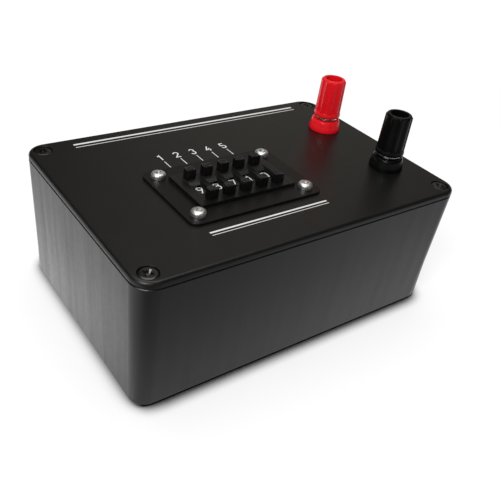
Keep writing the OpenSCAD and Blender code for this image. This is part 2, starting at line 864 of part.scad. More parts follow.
module board_screws() {
    head_r = 2.6;
    head_rim = 0.9;
    short = 1;
    cross = 2.8;
    cross_d = 1;
    shank_l = board_t + boss_h - short;
    color(bright_metal)
        for (q = quarters)
            translate([q[0] * (board_l / 2 - board_inset), q[1] * (board_w / 2 - board_inset),
                       board_z + board_t])
                difference() {
                    union() {
                        domed_head(head_r, board_head_h, head_rim);
                        translate([0, 0, -shank_l]) cylinder(r = screw_r - hair, h = shank_l + hair);
                    }
                    translate([0, 0, board_head_h]) cross_recess(cross, cross_d);
                }
}

// Size of a capacitor in decade d with weight step w: length, thickness, height
film_sizes = [[7.2, 3.5, 7], [10, 4, 9], [13, 6, 11]];
function film_size(d, w) = film_sizes[d] + w * [0, 0.6, 0.7];

module at_part(row, column) {
    rows_left = 2;
    translate([(row - (switch_count - 1) / 2) * row_pitch - rows_left, (column - 1.5) * part_pitch,
               board_z + board_t]) children();
}

module film_capacitors() {
    color("#b8a13a")
        for (d = [0:2])
            for (w = [0:3])
                at_part(2 - d, w) {
                    s = film_size(d, w);
                    translate([0, 0, s[2] / 2]) cube([s[0], s[1], s[2]], center = true);
                }
}

module ceramic_capacitors() {
    disc_t = 2.4;
    disc_least = 2.2;
    disc_grow = [0.35, 0.4];
    lead_r = 0.3;
    lead_side = 1.25;
    lead_h = 1.6;
    color("#c98a3c")
        for (d = [0:1])
            for (w = [0:3])
                at_part(3 + d, w) {
                    disc_r = disc_least + disc_grow * [w, 1 - d];
                    translate([0, disc_t / 2, disc_r + lead_h]) rotate([90, 0, 0])
                        cylinder(r = disc_r, h = disc_t);
                    for (x = [-lead_side, lead_side])
                        translate([x, 0, 0]) cylinder(r = lead_r, h = disc_r + 1);
                }
}

module link_wires() {
    above_tag = 0.6;
    low = board_z;
    high = seam_z - bush_t + above_tag;
    color("#b5472c")
        for (y = [red_y, black_y])
            translate([post_x - tag_reach, y, low]) cylinder(r = wire_r, h = high - low);
}

base_shell();
screw_inserts();
lid();
lid_screws();
bezel_plate();
bezel_screws();
bezel_washers();
bezel_nuts();
color(case_black) at_switch(0) end_cap(-1);  // end_cap_left
color(case_black) at_switch(switch_count) end_cap(1);  // end_cap_right
bank_rods();
rod_nuts();
contact_boards();
color(case_black) at_switch(0) switch_case();  // switch_case_1
color(case_black) at_switch(1) switch_case();  // switch_case_2
color(case_black) at_switch(2) switch_case();  // switch_case_3
color(case_black) at_switch(3) switch_case();  // switch_case_4
color(case_black) at_switch(4) switch_case();  // switch_case_5
color(gloss_black) at_switch(0) digit_wheel();  // digit_wheel_1
color(gloss_black) at_switch(1) digit_wheel();  // digit_wheel_2
color(gloss_black) at_switch(2) digit_wheel();  // digit_wheel_3
color(gloss_black) at_switch(3) digit_wheel();  // digit_wheel_4
color(gloss_black) at_switch(4) digit_wheel();  // digit_wheel_5
color(gloss_black) at_switch(0) ratchet();  // ratchet_1
color(gloss_black) at_switch(1) ratchet();  // ratchet_2
color(gloss_black) at_switch(2) ratchet();  // ratchet_3
color(gloss_black) at_switch(3) ratchet();  // ratchet_4
color(gloss_black) at_switch(4) ratchet();  // ratchet_5
color(gloss_black) at_switch(0) push_button();  // minus_button_1
color(gloss_black) at_switch(1) push_button();  // minus_button_2
color(gloss_black) at_switch(2) push_button();  // minus_button_3
color(gloss_black) at_switch(3) push_button();  // minus_button_4
color(gloss_black) at_switch(4) push_button();  // minus_button_5
color(gloss_black) at_switch(0) mirror([0, 1, 0]) push_button();  // plus_button_1
color(gloss_black) at_switch(1) mirror([0, 1, 0]) push_button();  // plus_button_2
color(gloss_black) at_switch(2) mirror([0, 1, 0]) push_button();  // plus_button_3
color(gloss_black) at_switch(3) mirror([0, 1, 0]) push_button();  // plus_button_4
color(gloss_black) at_switch(4) mirror([0, 1, 0]) push_button();  // plus_button_5
color(bright_metal) at_red() stud();  // red_stud
color(post_red) at_red() collar();  // red_collar
color(bright_metal) at_red() clamp_washer();  // red_clamp_washer
color(post_red) at_red() knob();  // red_knob
color(brass_yellow) at_red() knob_core();  // red_knob_core
color(post_red) at_red() bush();  // red_bush
color(bright_metal) at_red() tag();  // red_tag
color(bright_metal) at_red() post_nut();  // red_nut
color(bright_metal) at_black() stud();  // black_stud
color(gloss_black) at_black() collar();  // black_collar
color(bright_metal) at_black() clamp_washer();  // black_clamp_washer
color(gloss_black) at_black() knob();  // black_knob
color(brass_yellow) at_black() knob_core();  // black_knob_core
color(gloss_black) at_black() bush();  // black_bush
color(bright_metal) at_black() tag();  // black_tag
color(bright_metal) at_black() post_nut();  // black_nut
capacitor_board();
board_screws();
film_capacitors();
ceramic_capacitors();
link_wires();
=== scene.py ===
# Looks of a bench capacitance box: finishes, screws, printed marks, wheel digits, floor, light and camera.
# Blender works in metres; sizes in the dictionaries are in millimetres unless a note says otherwise.
import math

import bmesh
import bpy
from mathutils import Euler, Matrix, Vector


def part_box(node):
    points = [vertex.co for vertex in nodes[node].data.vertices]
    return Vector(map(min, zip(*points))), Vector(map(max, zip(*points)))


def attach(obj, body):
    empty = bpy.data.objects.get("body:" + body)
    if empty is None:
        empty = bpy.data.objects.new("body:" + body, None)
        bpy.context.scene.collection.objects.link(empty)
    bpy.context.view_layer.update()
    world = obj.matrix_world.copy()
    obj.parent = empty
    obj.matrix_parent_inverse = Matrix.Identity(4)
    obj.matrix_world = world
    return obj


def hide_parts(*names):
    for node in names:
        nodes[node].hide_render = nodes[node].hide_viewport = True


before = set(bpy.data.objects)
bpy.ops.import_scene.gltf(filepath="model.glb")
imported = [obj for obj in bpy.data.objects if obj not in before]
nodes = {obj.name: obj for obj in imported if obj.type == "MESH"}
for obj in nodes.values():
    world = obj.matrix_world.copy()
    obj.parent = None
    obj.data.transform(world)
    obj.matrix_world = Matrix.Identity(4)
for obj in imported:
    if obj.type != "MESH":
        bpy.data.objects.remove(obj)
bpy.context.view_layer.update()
mm = 0.001


def boxOf(node):
    # lowest corner, highest corner and middle of a node, in millimetres
    low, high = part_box(node)
    return low / mm, high / mm, (low + high) / 2 / mm


# View and light

# turn in degrees
viewCamera = {
    "place": (-147.1, -179.06, 177.59),
    "turn": (54.726, -6.327, -33.889),
    "lens": 45.71,
    "sensor": 36,
    "shiftX": 0.05,
    # what it sees, from and to, in metres
    "near": 0.01,
    "far": 20,
}


def placeCamera():
    data = bpy.data.cameras.new("camera")
    data.sensor_width = viewCamera["sensor"]
    data.lens = viewCamera["lens"]
    data.shift_x = viewCamera["shiftX"]
    data.clip_start = viewCamera["near"]
    data.clip_end = viewCamera["far"]
    camera = bpy.data.objects.new("camera", data)
    camera.location = Vector(viewCamera["place"]) * mm
    camera.rotation_euler = Euler([math.radians(a) for a in viewCamera["turn"]])
    bpy.context.scene.collection.objects.link(camera)
    bpy.context.scene.camera = camera


# in metres; a pair says where a change starts and where it ends
floorLook = {
    "side": 6.0,
    "colour": 0.42,
    # glow for the camera, which grows with the distance from the box, so that no horizon shows
    "nearGlow": 0.60,
    "farGlow": 0.90,
    "glowSpan": (0.35, 1.3),
    # painted contact shadow, a dark line of contact: its reach, the open share of sky over it, and what is
    # left on the lit side
    "contactReach": 0.009,
    "contactSpan": (0.46, 0.92),
    "contactLit": 0.75,
    "litSpan": (-0.070, -0.078),
}
# the floor as gloss sees it, a painted glow: painted light that is brightest beside the case on the left, and
# painted shadow of the case that makes it dimmer to the front and further off
paintedFloorSheen = {
    "left": 1.62,
    "front": 0.62,
    "right": 0.92,
    "out": 0.55,
    "ahead": 0.50,
    "leftAim": (-0.7, 0.7, 0),
    "leftSpan": (0.0, 0.08),
    "frontSpan": (-0.03, 0.1),
    "outSpan": (-0.079, -0.107),
    "aheadSpan": (-0.056, -0.100),
}
studio = {
    # light from all round, and the white that stands behind the floor
    "skyLight": 0.5,
    "white": 1.0,
    "horizonSpan": (0.02, 0.08),
    # what gloss sees above the horizon: a dark room, a wide soft light behind and another overhead
    "room": 0.02,
    "glow": 0.29,
    "glowAim": (0.60, 0.68, 0.42),
    "glowSpan": (0.91, 1.0),
    "glowColour": (1.0, 0.94, 0.82, 1),
    "ceiling": 0.9,
    "ceilingSpan": (0.80, 0.97),
}
# place, aim and size in metres, power in watts
lamps = {
    "key_lamp": {"place": (-1.05, -0.60, 1.1), "aim": (0, 0, 0.03), "size": (0.7, 0.7), "power": 16},
    "top_lamp": {"place": (0.1, 0.35, 1.3), "aim": (0, 0, 0), "size": (1.1, 0.8), "power": 5},
}


def addLamp(name):
    values = lamps[name]
    data = bpy.data.lights.new(name, "AREA")
    data.shape = "RECTANGLE"
    data.size, data.size_y = values["size"]
    data.energy = values["power"]
    lamp = bpy.data.objects.new(name, data)
    lamp.location = values["place"]
    aim = Vector(values["aim"]) - lamp.location
    lamp.rotation_euler = aim.to_track_quat("-Z", "Y").to_euler()
    lamp.visible_camera = False
    bpy.context.scene.collection.objects.link(lamp)


def setInput(tree, socket, value):
    # a number is written on the socket, and another node's output is linked
    if isinstance(value, (int, float)):
        socket.default_value = value
    else:
        tree.links.new(value, socket)


def mathOf(tree, operation, first, second):
    step = tree.nodes.new("ShaderNodeMath")
    step.operation = operation
    setInput(tree, step.inputs[0], first)
    setInput(tree, step.inputs[1], second)
    return step.outputs[0]


def productOf(tree, first, second):
    return mathOf(tree, "MULTIPLY", first, second)


def vectorOf(tree, operation, first, second=None):
    # second is a fixed vector
    step = tree.nodes.new("ShaderNodeVectorMath")
    step.operation = operation
    tree.links.new(first, step.inputs[0])
    if second is not None:
        step.inputs[1].default_value = second
    return step.outputs


def partsOf(tree, vector):
    split = tree.nodes.new("ShaderNodeSeparateXYZ")
    tree.links.new(vector, split.inputs[0])
    return split.outputs


def rampOf(tree, value, span, low, high, smooth=False):
    # goes from low to high while value goes along span
    ramp = tree.nodes.new("ShaderNodeMapRange")
    if smooth:
        ramp.interpolation_type = "SMOOTHSTEP"
    limits = {"From Min": span[0], "From Max": span[1], "To Min": low, "To Max": high}
    for name, limit in limits.items():
        setInput(tree, ramp.inputs[name], limit)
    tree.links.new(value, ramp.inputs["Value"])
    return ramp.outputs["Result"]


def mixShaders(tree, factor, first, second):
    mix = tree.nodes.new("ShaderNodeMixShader")
    tree.links.new(factor, mix.inputs["Fac"])
    tree.links.new(first.outputs[0], mix.inputs[1])
    tree.links.new(second.outputs[0], mix.inputs[2])
    return mix


def mirrorRays(tree, path):
    # 1 for the rays of gloss and glass
    return mathOf(tree, "MAXIMUM", path.outputs["Is Glossy Ray"], path.outputs["Is Transmission Ray"])


def objectPlace(tree):
    return tree.nodes.new("ShaderNodeTexCoord").outputs["Object"]


def backgroundOf(tree, colour, strength):
    light = tree.nodes.new("ShaderNodeBackground")
    light.inputs["Color"].default_value = colour
    setInput(tree, light.inputs["Strength"], strength)
    return light


def makeWorld():
    world = bpy.data.worlds.new("studio")
    bpy.context.scene.world = world
    world.use_nodes = True
    world.cycles.sampling_method = "NONE"
    tree = world.node_tree
    tree.nodes.clear()
    out = tree.nodes.new("ShaderNodeOutputWorld")
    lighting = backgroundOf(tree, (1, 1, 1, 1), studio["skyLight"])

    # the room that gloss sees
    toward = tree.nodes.new("ShaderNodeTexCoord").outputs["Generated"]
    height = partsOf(tree, toward)["Z"]
    aligned = vectorOf(tree, "DOT_PRODUCT", toward, Vector(studio["glowAim"]).normalized())["Value"]
    behind = rampOf(tree, aligned, studio["glowSpan"], studio["room"], studio["room"] + studio["glow"],
                    smooth=True)
    above = rampOf(tree, height, studio["ceilingSpan"], 0, studio["ceiling"], smooth=True)
    room = backgroundOf(tree, studio["glowColour"], mathOf(tree, "ADD", behind, above))

    # white at the horizon, as the floor is, and for the camera everywhere
    white = backgroundOf(tree, (1, 1, 1, 1), studio["white"])
    low = rampOf(tree, height, studio["horizonSpan"], 1, 0, smooth=True)
    path = tree.nodes.new("ShaderNodeLightPath")
    seen = path.outputs["Is Camera Ray"]
    shown = mixShaders(tree, mathOf(tree, "MAXIMUM", low, seen), room, white)
    rays = mathOf(tree, "MAXIMUM", mirrorRays(tree, path), seen)
    tree.links.new(mixShaders(tree, rays, lighting, shown).outputs[0], out.inputs["Surface"])


def makeFloor():
    half = floorLook["side"] / 2
    mesh = bpy.data.meshes.new("floor")
    corners = [(-half, -half, 0), (half, -half, 0), (half, half, 0), (-half, half, 0)]
    mesh.from_pydata(corners, [], [(0, 1, 2, 3)])
    floor = bpy.data.objects.new("floor", mesh)
    bpy.context.scene.collection.objects.link(floor)
    material = bpy.data.materials.new("floor_paper")
    material.use_nodes = True
    tree = material.node_tree
    tree.nodes.clear()
    out = tree.nodes.new("ShaderNodeOutputMaterial")
    path = tree.nodes.new("ShaderNodeLightPath")
    place = objectPlace(tree)
    along = partsOf(tree, place)

    # painted contact shadow: ambient occlusion darkens the paper's colour where the case stands, less on the
    # lit left side
    sky = tree.nodes.new("ShaderNodeAmbientOcclusion")
    sky.inputs["Distance"].default_value = floorLook["contactReach"]
    lit = rampOf(tree, along["X"], floorLook["litSpan"], 0, floorLook["contactLit"], smooth=True)
    contact = rampOf(tree, sky.outputs["AO"], floorLook["contactSpan"], lit, 1, smooth=True)
    paper = tree.nodes.new("ShaderNodeBsdfDiffuse")
    tree.links.new(productOf(tree, contact, floorLook["colour"]), paper.inputs["Color"])

    # camera rays see an even white, darkened by the same painted contact shadow
    distance = vectorOf(tree, "LENGTH", place)["Value"]
    strength = rampOf(tree, distance, floorLook["glowSpan"], floorLook["nearGlow"], floorLook["farGlow"])
    glow = tree.nodes.new("ShaderNodeEmission")
    shown = productOf(tree, productOf(tree, contact, strength), path.outputs["Is Camera Ray"])
    tree.links.new(shown, glow.inputs["Strength"])
    both = tree.nodes.new("ShaderNodeAddShader")
    tree.links.new(paper.outputs[0], both.inputs[0])
    tree.links.new(glow.outputs[0], both.inputs[1])

    # gloss sees only a painted glow on the floor: painted light brightest on the left, and painted shadow to
    # the front and right
    across = vectorOf(tree, "DOT_PRODUCT", place, paintedFloorSheen["leftAim"])["Value"]
    front = rampOf(tree, along["X"], paintedFloorSheen["frontSpan"], paintedFloorSheen["front"], paintedFloorSheen["right"])
    side = rampOf(tree, across, paintedFloorSheen["leftSpan"], front, paintedFloorSheen["left"], smooth=True)
    outward = rampOf(tree, along["X"], paintedFloorSheen["outSpan"], 1, paintedFloorSheen["out"])
    ahead = rampOf(tree, along["Y"], paintedFloorSheen["aheadSpan"], 1, paintedFloorSheen["ahead"])
    sheen = tree.nodes.new("ShaderNodeEmission")
    tree.links.new(productOf(tree, productOf(tree, side, outward), ahead), sheen.inputs["Strength"])
    tree.links.new(mixShaders(tree, mirrorRays(tree, path), both, sheen).outputs[0], out.inputs["Surface"])
    mesh.materials.append(material)


bpy.context.scene.view_settings.view_transform = "Standard"
placeCamera()
makeWorld()
makeFloor()
for lampName in lamps:
    addLamp(lampName)
print("camera, floor and light are in place")


# Materials


def newMaterial(name):
    material = bpy.data.materials.new(name)
    material.use_nodes = True
    tree = material.node_tree
    return material, tree, tree.nodes["Principled BSDF"]


def noiseOf(tree, place, size, detail=2.0, roughness=0.5):
    # size is the width of one blotch in millimetres
    noise = tree.nodes.new("ShaderNodeTexNoise")
    noise.inputs["Scale"].default_value = 1 / (size * mm)
    noise.inputs["Detail"].default_value = detail
    noise.inputs["Roughness"].default_value = roughness
    tree.links.new(place, noise.inputs["Vector"])
    return noise.outputs["Fac"]


def spread(tree, value, low, high, span=(0.3, 0.7)):
    # stretches a noise, whose values mostly lie within span
    return rampOf(tree, value, span, low, high)


def setColour(tree, shader, factor, values):
    # blends the two colours of a finish
    mix = tree.nodes.new("ShaderNodeMix")
    mix.data_type = "RGBA"
    tree.links.new(factor, mix.inputs[0])
    mix.inputs[6].default_value = (*values["colour"], 1)
    mix.inputs[7].default_value = (*values["tint"], 1)
    tree.links.new(mix.outputs[2], shader.inputs["Base Color"])


def bumpOf(tree, height, depth, under=None):
    # depth is the height of the relief in millimetres
    bump = tree.nodes.new("ShaderNodeBump")
    bump.inputs["Strength"].default_value = 1
    bump.inputs["Distance"].default_value = depth * mm
    tree.links.new(height, bump.inputs["Height"])
    if under is not None:
        tree.links.new(under, bump.inputs["Normal"])
    return bump.outputs["Normal"]


def addBump(tree, shader, height, depth, under=None):
    tree.links.new(bumpOf(tree, height, depth, under), shader.inputs["Normal"])


# colour, second colour, roughness low and high, width and depth of the grain, specular level;
# streak is how far drag marks change the roughness, and streakDepth their relief
plastics = {
    "case_plastic": {"colour": (0.0040, 0.0040, 0.0041), "tint": (0.0052, 0.0052, 0.0053),
                     "rough": (0.34, 0.38), "grain": 0.14, "depth": 0.0016, "specular": 0.5,
                     "streak": 0.035, "streakDepth": 0.004},
    # the lid is of the case's plastic, made a little darker and warmer: painted shade on the lid's top and a
    # warm painted reflection; it is also less glossy
    "lid_plastic": {"colour": (0.0036, 0.0035, 0.0033), "tint": (0.0048, 0.0046, 0.0044),
                    "rough": (0.36, 0.40), "grain": 0.14, "depth": 0.0016, "specular": 0.42},
    "bezel_paint": {"colour": (0.0036, 0.0036, 0.0035), "tint": (0.0048, 0.0047, 0.0046),
                    "rough": (0.34, 0.40), "grain": 0.16, "depth": 0.002, "specular": 0.25},
    "switch_plastic": {"colour": (0.0040, 0.0040, 0.0039), "tint": (0.0054, 0.0053, 0.0052),
                       "rough": (0.30, 0.38), "grain": 0.12, "depth": 0.003, "specular": 0.35},
    "wheel_plastic": {"colour": (0.0040, 0.0040, 0.0040), "tint": (0.0050, 0.0050, 0.0050),
                      "rough": (0.34, 0.44), "grain": 0.10, "depth": 0.003, "specular": 0.5},
    "button_plastic": {"colour": (0.0030, 0.0030, 0.0030), "tint": (0.0042, 0.0042, 0.0042),
                       "rough": (0.26, 0.34), "grain": 0.14, "depth": 0.003, "specular": 0.5},
    "red_plastic": {"colour": (0.700, 0.0060, 0.0120), "tint": (0.760, 0.0080, 0.0150),
                    "rough": (0.24, 0.30), "grain": 0.60, "depth": 0.004, "specular": 0.2},
    "black_plastic": {"colour": (0.0026, 0.0026, 0.0026), "tint": (0.0034, 0.0034, 0.0034),
                      "rough": (0.20, 0.26), "grain": 0.60, "depth": 0.004, "specular": 0.13},
    "film_body": {"colour": (0.42, 0.29, 0.045), "tint": (0.52, 0.37, 0.07),
                  "rough": (0.35, 0.50), "grain": 0.50, "depth": 0.020, "specular": 0.5},
    "ceramic_body": {"colour": (0.50, 0.20, 0.050), "tint": (0.58, 0.26, 0.08),
                     "rough": (0.40, 0.55), "grain": 0.40, "depth": 0.020, "specular": 0.5},
    "wire_coat": {"colour": (0.42, 0.045, 0.020), "tint": (0.50, 0.060, 0.030),
                  "rough": (0.35, 0.45), "grain": 0.50, "depth": 0.004, "specular": 0.5},
    # the marks are of the buttons' plastic, coloured lighter: painted highlight for the light that the raised
    # marks catch
    "mark_plastic": {"colour": (0.014, 0.014, 0.014), "tint": (0.022, 0.022, 0.021),
                     "rough": (0.30, 0.42), "grain": 0.14, "depth": 0.004, "specular": 0.5},
    "print_ink": {"colour": (0.66, 0.66, 0.65), "tint": (0.74, 0.74, 0.73),
                  "rough": (0.45, 0.60), "grain": 0.20, "depth": 0.004, "specular": 0.4},
}
# widths that all the plastics share; drag marks are wide and fine ones, drawn out by dragLong
plasticNoise = {"cloud": 9, "patch": 2.5, "dragWide": 5, "dragFine": 0.9, "dragLong": 50, "fineShare": 0.7}


def makePlastic(name):
    values = plastics[name]
    material, tree, shader = newMaterial(name + "_finish")
    place = objectPlace(tree)
    cloud = noiseOf(tree, place, plasticNoise["cloud"], detail=3)
    setColour(tree, shader, spread(tree, cloud, 0, 1), values)
    patch = noiseOf(tree, place, plasticNoise["patch"], detail=4, roughness=0.65)
    roughness = spread(tree, patch, *values["rough"])
    under = None
    if "streak" in values:
        # upright drag marks from the mould
        drawn = vectorOf(tree, "MULTIPLY", place, (1, 1, 1 / plasticNoise["dragLong"]))[0]
        wide = noiseOf(tree, drawn, plasticNoise["dragWide"], detail=2)
        fine = noiseOf(tree, drawn, plasticNoise["dragFine"], detail=3, roughness=0.7)
        share = plasticNoise["fineShare"]
        drag = mathOf(tree, "ADD", spread(tree, wide, -1, 1), spread(tree, fine, -share, share))
        roughness = mathOf(tree, "ADD", roughness, productOf(tree, drag, values["streak"]))
        under = bumpOf(tree, fine, values["streakDepth"])
    tree.links.new(roughness, shader.inputs["Roughness"])
    shader.inputs["Specular IOR Level"].default_value = values["specular"]
    grain = noiseOf(tree, place, values["grain"], detail=2, roughness=0.6)
    addBump(tree, shader, grain, values["depth"], under)
    return material


# colour, second colour, roughness low and high
metals = {
    "post_metal": {"colour": (0.62, 0.62, 0.61), "tint": (0.70, 0.69, 0.67), "rough": (0.14, 0.24)},
    "brass": {"colour": (0.58, 0.40, 0.15), "tint": (0.66, 0.47, 0.20), "rough": (0.24, 0.40)},
    "zinc_screw": {"colour": (0.72, 0.72, 0.72), "tint": (0.86, 0.86, 0.85), "rough": (0.36, 0.46)},
    "plated_steel": {"colour": (0.52, 0.53, 0.54), "tint": (0.62, 0.62, 0.62), "rough": (0.26, 0.40)},
}
metalNoise = {"cloud": 0.9, "patch": 0.35, "grain": 0.16, "depth": 0.004}


def makeMetal(name):
    values = metals[name]
    material, tree, shader = newMaterial(name + "_finish")
    place = objectPlace(tree)
    cloud = noiseOf(tree, place, metalNoise["cloud"], detail=4, roughness=0.6)
    setColour(tree, shader, spread(tree, cloud, 0, 1), values)
    shader.inputs["Metallic"].default_value = 1
    patch = noiseOf(tree, place, metalNoise["patch"], detail=3)
    tree.links.new(spread(tree, patch, *values["rough"]), shader.inputs["Roughness"])
    addBump(tree, shader, noiseOf(tree, place, metalNoise["grain"], detail=2), metalNoise["depth"])
    return material


# thread of the binding posts' studs, and the radius inside which the bore is plain
studThread = {"pitch": 1.0, "depth": 0.5, "bore": 2.4}


def makeStudThread(name, axis):
    # the studs' metal with a thread wound round the post's axis, which stands at (x, y) in metres
    material = finishes["post_metal"].copy()
    material.name = name
    tree = material.node_tree
    shader = tree.nodes["Principled BSDF"]
    under = shader.inputs["Normal"].links[0].from_socket
    centred = vectorOf(tree, "SUBTRACT", objectPlace(tree), (axis.x, axis.y, 0))[0]
    along = partsOf(tree, centred)
    turn = mathOf(tree, "DIVIDE", mathOf(tree, "ARCTAN2", along["Y"], along["X"]), 2 * math.pi)
    rise = mathOf(tree, "DIVIDE", along["Z"], studThread["pitch"] * mm)
    wound = mathOf(tree, "PINGPONG", mathOf(tree, "SUBTRACT", rise, turn), 0.5)
    squares = [mathOf(tree, "POWER", along[way], 2) for way in ("X", "Y")]
    reach = mathOf(tree, "SQRT", mathOf(tree, "ADD", *squares), 0)
    outside = mathOf(tree, "GREATER_THAN", reach, studThread["bore"] * mm)
    addBump(tree, shader, productOf(tree, wound, outside), studThread["depth"], under)
    return material


blackScrew = {"colour": (0.004, 0.004, 0.004), "tint": (0.008, 0.008, 0.008), "rough": (0.2, 0.28),
              "specular": 0.7, "cloud": 0.7, "patch": 0.3, "grain": 0.2, "depth": 0.006}


def makeBlackScrew():
    material, tree, shader = newMaterial("black_screw_finish")
    place = objectPlace(tree)
    cloud = noiseOf(tree, place, blackScrew["cloud"], detail=4)
    setColour(tree, shader, spread(tree, cloud, 0, 1), blackScrew)
    patch = noiseOf(tree, place, blackScrew["patch"], detail=3)
    tree.links.new(spread(tree, patch, *blackScrew["rough"]), shader.inputs["Roughness"])
    shader.inputs["Specular IOR Level"].default_value = blackScrew["specular"]
    addBump(tree, shader, noiseOf(tree, place, blackScrew["grain"], detail=2), blackScrew["depth"])
    return material


# lacquer over the laminate, lighter where a copper track runs below it
boardFinish = {"colour": (0.010, 0.095, 0.035), "tint": (0.018, 0.150, 0.060), "rough": (0.28, 0.42),
               "track": 2.54, "wander": 1.5, "wanderScale": 0.4, "trackSpan": (0.62, 0.7),
               "trackDepth": 0.02, "patch": 1.5}


def makeBoard():
    material, tree, shader = newMaterial("board_finish")
    place = objectPlace(tree)
    wave = tree.nodes.new("ShaderNodeTexWave")
    wave.inputs["Scale"].default_value = 1 / (boardFinish["track"] * mm) / 2
    wave.inputs["Distortion"].default_value = boardFinish["wander"]
    wave.inputs["Detail Scale"].default_value = boardFinish["wanderScale"]
    tree.links.new(place, wave.inputs["Vector"])
    track = spread(tree, wave.outputs["Fac"], 0, 1, boardFinish["trackSpan"])
    setColour(tree, shader, track, boardFinish)
    patch = noiseOf(tree, place, boardFinish["patch"])
    tree.links.new(spread(tree, patch, *boardFinish["rough"]), shader.inputs["Roughness"])
    addBump(tree, shader, track, boardFinish["trackDepth"])
    return material


finishes = {name: makePlastic(name) for name in plastics}
finishes.update({name: makeMetal(name) for name in metals})
finishes["black_screw"] = makeBlackScrew()
finishes["board"] = makeBoard()

for node in nodes.values():
    for holder in node.material_slots:
        holder.material = finishes[holder.material.name]
for post in ("red", "black"):
    postLow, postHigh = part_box(f"{post}_stud")
    thread = makeStudThread(f"{post}_stud_finish", (postLow + postHigh) / 2)
    nodes[f"{post}_stud"].material_slots[0].material = thread
print("finishes:", len(finishes))


# Softened edges of the moulded and turned parts: the width of each part's rounding

edgeRound = {
    "base_shell": 0.06, "lid": 0.12,
    "end_cap_left": 0.14, "end_cap_right": 0.14,
    "red_collar": 0.2, "black_collar": 0.2, "red_clamp_washer": 0.1, "black_clamp_washer": 0.1,
    "red_knob": 0.35, "black_knob": 0.35,
}
for k in range(1, 6):
    edgeRound[f"switch_case_{k}"] = 0.14
    edgeRound[f"minus_button_{k}"] = 0.16
    edgeRound[f"plus_button_{k}"] = 0.16
# points nearer than weld are one, and edges sharper than angle, in degrees, are rounded
edgeWork = {"weld": 0.002, "segments": 2, "angle": 32}


def softenEdges(name, width):
    node = nodes[name]
    weld = node.modifiers.new("weld", "WELD")
    weld.merge_threshold = edgeWork["weld"] * mm
    bevel = node.modifiers.new("round", "BEVEL")
    bevel.width = width * mm
    bevel.segments = edgeWork["segments"]
    bevel.limit_method = "ANGLE"
    bevel.angle_limit = math.radians(edgeWork["angle"])
    bevel.use_clamp_overlap = True
    normals = node.modifiers.new("normals", "WEIGHTED_NORMAL")
    normals.keep_sharp = False


for partName, partWidth in edgeRound.items():
    softenEdges(partName, partWidth)
print("edges softened on", len(edgeRound), "parts")


# Helpers for new pieces


def addPiece(name, mesh, finish, body="case", smooth=35):
    # edges sharper than smooth, in degrees, stay sharp
    for face in mesh.polygons:
        face.use_smooth = True
    mesh.set_sharp_from_angle(angle=math.radians(smooth))
    mesh.materials.append(finishes[finish])
    piece = bpy.data.objects.new(name, mesh)
    bpy.context.scene.collection.objects.link(piece)
    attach(piece, body)
    return piece


def turnFacesOut(mesh, weld=0):
    bm = bmesh.new()
    bm.from_mesh(mesh)
    if weld:
        bmesh.ops.remove_doubles(bm, verts=bm.verts, dist=weld)
    bmesh.ops.recalc_face_normals(bm, faces=bm.faces)
    bm.to_mesh(mesh)
    bm.free()


def meshFrom(name, points, faces):
    mesh = bpy.data.meshes.new(name)
    mesh.from_pydata([Vector(p) * mm for p in points], [], faces)
    turnFacesOut(mesh)
    return mesh


def joinMeshes(name, parts):
    # parts are (mesh, matrix) pairs, which become one mesh
    bm = bmesh.new()
    for mesh, place in parts:
        copy = mesh.copy()
        copy.transform(place)
        bm.from_mesh(copy)
        bpy.data.meshes.remove(copy)
    whole = bpy.data.meshes.new(name)
    bm.to_mesh(whole)
    bm.free()
    return whole


def shapeOf(helper):
    # the mesh that an object has after its modifiers or its curve settings
    bpy.context.view_layer.update()
    return bpy.data.meshes.new_from_object(helper.evaluated_get(bpy.context.evaluated_depsgraph_get()))


def cutWith(mesh, cutters):
    # takes each cutter mesh out of mesh and gives the result back
    blank = bpy.data.objects.new("blank", mesh)
    bpy.context.scene.collection.objects.link(blank)
    helpers = [blank]
    for cutter in cutters:
        tool = bpy.data.objects.new("tool", cutter)
        bpy.context.scene.collection.objects.link(tool)
        helpers.append(tool)
        cut = blank.modifiers.new("cut", "BOOLEAN")
        cut.operation = "DIFFERENCE"
        cut.solver = "EXACT"
        cut.object = tool
    result = shapeOf(blank)
    for helper in helpers:
        bpy.data.objects.remove(helper)
    return result


# Screws: a profile swept round Z, with a thread on the shank and a cross drive cut into the head

# rows are those of one pitch; the thread fades over its lead at both ends; tip and neck are the plain
# lengths below and above it, and tipShare is the share of the radius at the very end
screwThread = {"pitch": 0.5, "depth": 0.28, "rows": 6, "lead": 0.5, "tip": 0.3, "tipShare": 0.7, "neck": 0.4}
# segments round the axis, the rounding under the rim, rows and radius of the dome's end, and the gap
# between the neck and the head
screwBody = {"segments": 32, "under": 0.12, "domeRows": 9, "domeTip": 0.05, "gap": 0.05}


def turned(name, rows):
    # rows are (z, radius, share of the thread), from the lowest row on
    points, faces = [], []
    segments, pitch = screwBody["segments"], screwThread["pitch"]
    for z, radius, share in rows:
        for k in range(segments):
            angle = 2 * math.pi * k / segments
            ridge = abs(2 * ((z / pitch - k / segments) % 1) - 1)
            r = radius - share * screwThread["depth"] * ridge
            points.append((r * math.cos(angle), r * math.sin(angle), z))
    last = (len(rows) - 1) * segments
    for below in range(0, last, segments):
        above = below + segments
        for k in range(segments):
            n = (k + 1) % segments
            faces.append((below + k, below + n, above + n, above + k))
    faces.append(tuple(range(segments)))
    faces.append(tuple(range(last, last + segments)))
    return meshFrom(name, points, faces)


def threadRows(low, high, radius):
    rows = []
    steps = round((high - low) / screwThread["pitch"] * screwThread["rows"])
    for k in range(steps + 1):
        z = low + (high - low) * k / steps
        share = min(1, (z - low) / screwThread["lead"], (high - z) / screwThread["lead"])
        rows.append((z, radius, max(0, share)))
    return rows


